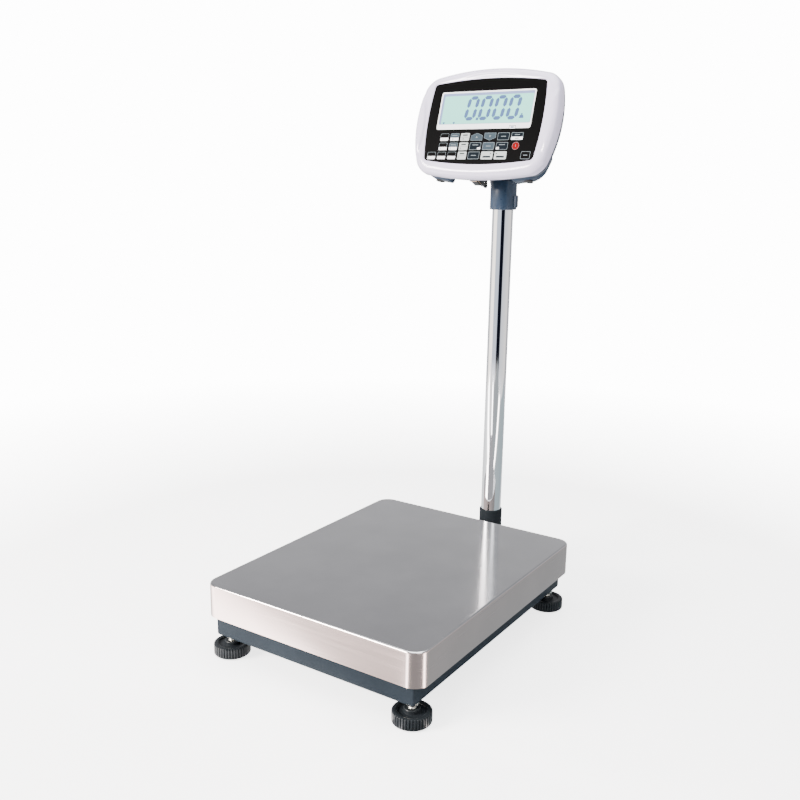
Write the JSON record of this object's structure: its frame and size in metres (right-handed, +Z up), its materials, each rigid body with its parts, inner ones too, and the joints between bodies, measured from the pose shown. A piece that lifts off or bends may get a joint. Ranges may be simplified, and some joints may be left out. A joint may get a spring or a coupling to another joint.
{
  "type": "bench scale",
  "caption": "Bench weighing scale: stainless pan on a levelled steel frame, rear column, and an indicator that swivels and tilts.",
  "frame": {"origin": "on the table under the middle of the whole scale", "axes": "+X to the user's right, -Y towards the user, +Z up"},
  "size_m": [0.4, 0.607, 0.9263],
  "materials": {
    "pan_steel": "brushed stainless sheet, fine grain",
    "frame_paint": "satin slate-grey powder coat",
    "bracket_paint": "satin charcoal powder coat",
    "tube_chrome": "polished chrome plate",
    "zinc": "bright zinc plate",
    "aluminium": "machined aluminium",
    "rubber": "matt black rubber",
    "wheel_black": "black moulded plastic on a steel stud",
    "cable_black": "black cable sheath",
    "shell_white": "glossy white plastic with a lilac tint",
    "shell_blue": "satin blue-grey plastic",
    "bolt_black": "black oxide steel",
    "overlay_black": "black printed overlay",
    "window_clear": "clear window printed white at its edge",
    "lcd_green": "pale green back-lit display",
    "board_green": "circuit board",
    "battery_grey": "sealed battery case",
    "jack_black": "black plastic",
    "plug_black": "black plastic plug cover",
    "key_dark": "dark printed key",
    "key_grey": "grey printed key",
    "key_light": "light grey printed key",
    "key_red": "red printed key"
  },
  "bodies": {
    "base": {"base_frame": "frame_paint", "cross_beam": "frame_paint", "foot_plates": "frame_paint", "foot_lock_nuts": "zinc", "load_cell": "aluminium", "cell_spacers": "aluminium", "frame_bolts": "zinc", "upper_frame": "frame_paint", "pan_buffers": "rubber", "cell_cable": "cable_black", "column_bracket": "bracket_paint", "bracket_bolts": "zinc", "column_tube": "tube_chrome"},
    "pan": {"pan": "pan_steel"},
    "foot_glide_1": {"foot_pad_1": "rubber"},
    "foot_screw_1": {"foot_screw_1": "wheel_black"},
    "foot_glide_2": {"foot_pad_2": "rubber"},
    "foot_screw_2": {"foot_screw_2": "wheel_black"},
    "foot_glide_3": {"foot_pad_3": "rubber"},
    "foot_screw_3": {"foot_screw_3": "wheel_black"},
    "foot_glide_4": {"foot_pad_4": "rubber"},
    "foot_screw_4": {"foot_screw_4": "wheel_black"},
    "swivel": {"collar": "shell_blue", "collar_screw": "bolt_black", "tilt_bolt": "zinc", "plug_cable": "cable_black"},
    "head": {"front_shell": "shell_white", "rear_shell": "shell_blue", "keypad_panel": "overlay_black", "display_window": "window_clear", "lcd_module": "lcd_green", "main_board": "board_green", "battery": "battery_grey", "shell_screws": "zinc", "shell_feet": "rubber", "serial_socket": "zinc", "power_jack": "jack_black", "serial_plug": "plug_black"},
    "key_7": {"key_7": "key_dark"},
    "key_8": {"key_8": "key_grey"},
    "key_9": {"key_9": "key_light"},
    "key_up": {"key_up": "key_grey"},
    "key_down": {"key_down": "key_grey"},
    "key_preset": {"key_preset": "key_dark"},
    "key_units": {"key_units": "key_dark"},
    "key_4": {"key_4": "key_dark"},
    "key_5": {"key_5": "key_grey"},
    "key_6": {"key_6": "key_light"},
    "key_print": {"key_print": "key_dark"},
    "key_count": {"key_count": "key_grey"},
    "key_gross": {"key_gross": "key_dark"},
    "key_on": {"key_on": "key_red"},
    "key_0": {"key_0": "key_dark"},
    "key_1": {"key_1": "key_dark"},
    "key_2": {"key_2": "key_dark"},
    "key_3": {"key_3": "key_light"},
    "key_clear": {"key_clear": "key_dark"},
    "key_zero": {"key_zero": "key_light"},
    "key_tare": {"key_tare": "key_light"},
    "key_off": {"key_off": "key_dark"}
  },
  "joints": [
    {"name": "lift_pan", "type": "slide", "parent": "base", "child": "pan", "axis": [0, 0, 1], "range_m": [0, 0.12]},
    {"name": "foot_1_lift", "type": "slide", "parent": "base", "child": "foot_glide_1", "axis": [0, 0, 1], "range_m": [-0.01, 0.004]},
    {"name": "foot_1_turn", "type": "hinge", "parent": "foot_glide_1", "child": "foot_screw_1", "pos_m": [-0.17, -0.2745, 0.0125], "axis": [0, 0, 1], "range_deg": [-1980, 810]},
    {"name": "foot_2_lift", "type": "slide", "parent": "base", "child": "foot_glide_2", "axis": [0, 0, 1], "range_m": [-0.01, 0.004]},
    {"name": "foot_2_turn", "type": "hinge", "parent": "foot_glide_2", "child": "foot_screw_2", "pos_m": [0.17, -0.2745, 0.0125], "axis": [0, 0, 1], "range_deg": [-1980, 810]},
    {"name": "foot_3_lift", "type": "slide", "parent": "base", "child": "foot_glide_3", "axis": [0, 0, 1], "range_m": [-0.01, 0.004]},
    {"name": "foot_3_turn", "type": "hinge", "parent": "foot_glide_3", "child": "foot_screw_3", "pos_m": [-0.17, 0.1675, 0.0125], "axis": [0, 0, 1], "range_deg": [-1980, 810]},
    {"name": "foot_4_lift", "type": "slide", "parent": "base", "child": "foot_glide_4", "axis": [0, 0, 1], "range_m": [-0.01, 0.004]},
    {"name": "foot_4_turn", "type": "hinge", "parent": "foot_glide_4", "child": "foot_screw_4", "pos_m": [0.17, 0.1675, 0.0125], "axis": [0, 0, 1], "range_deg": [-1980, 810]},
    {"name": "head_swivel", "type": "hinge", "parent": "base", "child": "swivel", "pos_m": [0, 0.2695, 0.7155], "axis": [0, 0, 1], "range_deg": [-90, 90]},
    {"name": "head_tilt", "type": "hinge", "parent": "swivel", "child": "head", "pos_m": [0, 0.22873, 0.78757], "axis": [-1, 0, 0], "range_deg": [-15, 25], "deforming": ["plug_cable"]},
    {"name": "press_7", "type": "slide", "parent": "head", "child": "key_7", "axis": [0, 0.9563, -0.2924], "range_m": [0, 0.0004], "stiffness_N_per_m": 6000},
    {"name": "press_8", "type": "slide", "parent": "head", "child": "key_8", "axis": [0, 0.9563, -0.2924], "range_m": [0, 0.0004], "stiffness_N_per_m": 6000},
    {"name": "press_9", "type": "slide", "parent": "head", "child": "key_9", "axis": [0, 0.9563, -0.2924], "range_m": [0, 0.0004], "stiffness_N_per_m": 6000},
    {"name": "press_up", "type": "slide", "parent": "head", "child": "key_up", "axis": [0, 0.9563, -0.2924], "range_m": [0, 0.0004], "stiffness_N_per_m": 6000},
    {"name": "press_down", "type": "slide", "parent": "head", "child": "key_down", "axis": [0, 0.9563, -0.2924], "range_m": [0, 0.0004], "stiffness_N_per_m": 6000},
    {"name": "press_preset", "type": "slide", "parent": "head", "child": "key_preset", "axis": [0, 0.9563, -0.2924], "range_m": [0, 0.0004], "stiffness_N_per_m": 6000},
    {"name": "press_units", "type": "slide", "parent": "head", "child": "key_units", "axis": [0, 0.9563, -0.2924], "range_m": [0, 0.0004], "stiffness_N_per_m": 6000},
    {"name": "press_4", "type": "slide", "parent": "head", "child": "key_4", "axis": [0, 0.9563, -0.2924], "range_m": [0, 0.0004], "stiffness_N_per_m": 6000},
    {"name": "press_5", "type": "slide", "parent": "head", "child": "key_5", "axis": [0, 0.9563, -0.2924], "range_m": [0, 0.0004], "stiffness_N_per_m": 6000},
    {"name": "press_6", "type": "slide", "parent": "head", "child": "key_6", "axis": [0, 0.9563, -0.2924], "range_m": [0, 0.0004], "stiffness_N_per_m": 6000},
    {"name": "press_print", "type": "slide", "parent": "head", "child": "key_print", "axis": [0, 0.9563, -0.2924], "range_m": [0, 0.0004], "stiffness_N_per_m": 6000},
    {"name": "press_count", "type": "slide", "parent": "head", "child": "key_count", "axis": [0, 0.9563, -0.2924], "range_m": [0, 0.0004], "stiffness_N_per_m": 6000},
    {"name": "press_gross", "type": "slide", "parent": "head", "child": "key_gross", "axis": [0, 0.9563, -0.2924], "range_m": [0, 0.0004], "stiffness_N_per_m": 6000},
    {"name": "press_on", "type": "slide", "parent": "head", "child": "key_on", "axis": [0, 0.9563, -0.2924], "range_m": [0, 0.0004], "stiffness_N_per_m": 6000},
    {"name": "press_0", "type": "slide", "parent": "head", "child": "key_0", "axis": [0, 0.9563, -0.2924], "range_m": [0, 0.0004], "stiffness_N_per_m": 6000},
    {"name": "press_1", "type": "slide", "parent": "head", "child": "key_1", "axis": [0, 0.9563, -0.2924], "range_m": [0, 0.0004], "stiffness_N_per_m": 6000},
    {"name": "press_2", "type": "slide", "parent": "head", "child": "key_2", "axis": [0, 0.9563, -0.2924], "range_m": [0, 0.0004], "stiffness_N_per_m": 6000},
    {"name": "press_3", "type": "slide", "parent": "head", "child": "key_3", "axis": [0, 0.9563, -0.2924], "range_m": [0, 0.0004], "stiffness_N_per_m": 6000},
    {"name": "press_clear", "type": "slide", "parent": "head", "child": "key_clear", "axis": [0, 0.9563, -0.2924], "range_m": [0, 0.0004], "stiffness_N_per_m": 6000},
    {"name": "press_zero", "type": "slide", "parent": "head", "child": "key_zero", "axis": [0, 0.9563, -0.2924], "range_m": [0, 0.0004], "stiffness_N_per_m": 6000},
    {"name": "press_tare", "type": "slide", "parent": "head", "child": "key_tare", "axis": [0, 0.9563, -0.2924], "range_m": [0, 0.0004], "stiffness_N_per_m": 6000},
    {"name": "press_off", "type": "slide", "parent": "head", "child": "key_off", "axis": [0, 0.9563, -0.2924], "range_m": [0, 0.0004], "stiffness_N_per_m": 6000}
  ],
  "couplings": [
    {"joint": "foot_1_lift", "follows": "foot_1_turn", "m_per_rad": 0.00027852},
    {"joint": "foot_2_lift", "follows": "foot_2_turn", "m_per_rad": 0.00027852},
    {"joint": "foot_3_lift", "follows": "foot_3_turn", "m_per_rad": 0.00027852},
    {"joint": "foot_4_lift", "follows": "foot_4_turn", "m_per_rad": 0.00027852}
  ]
}
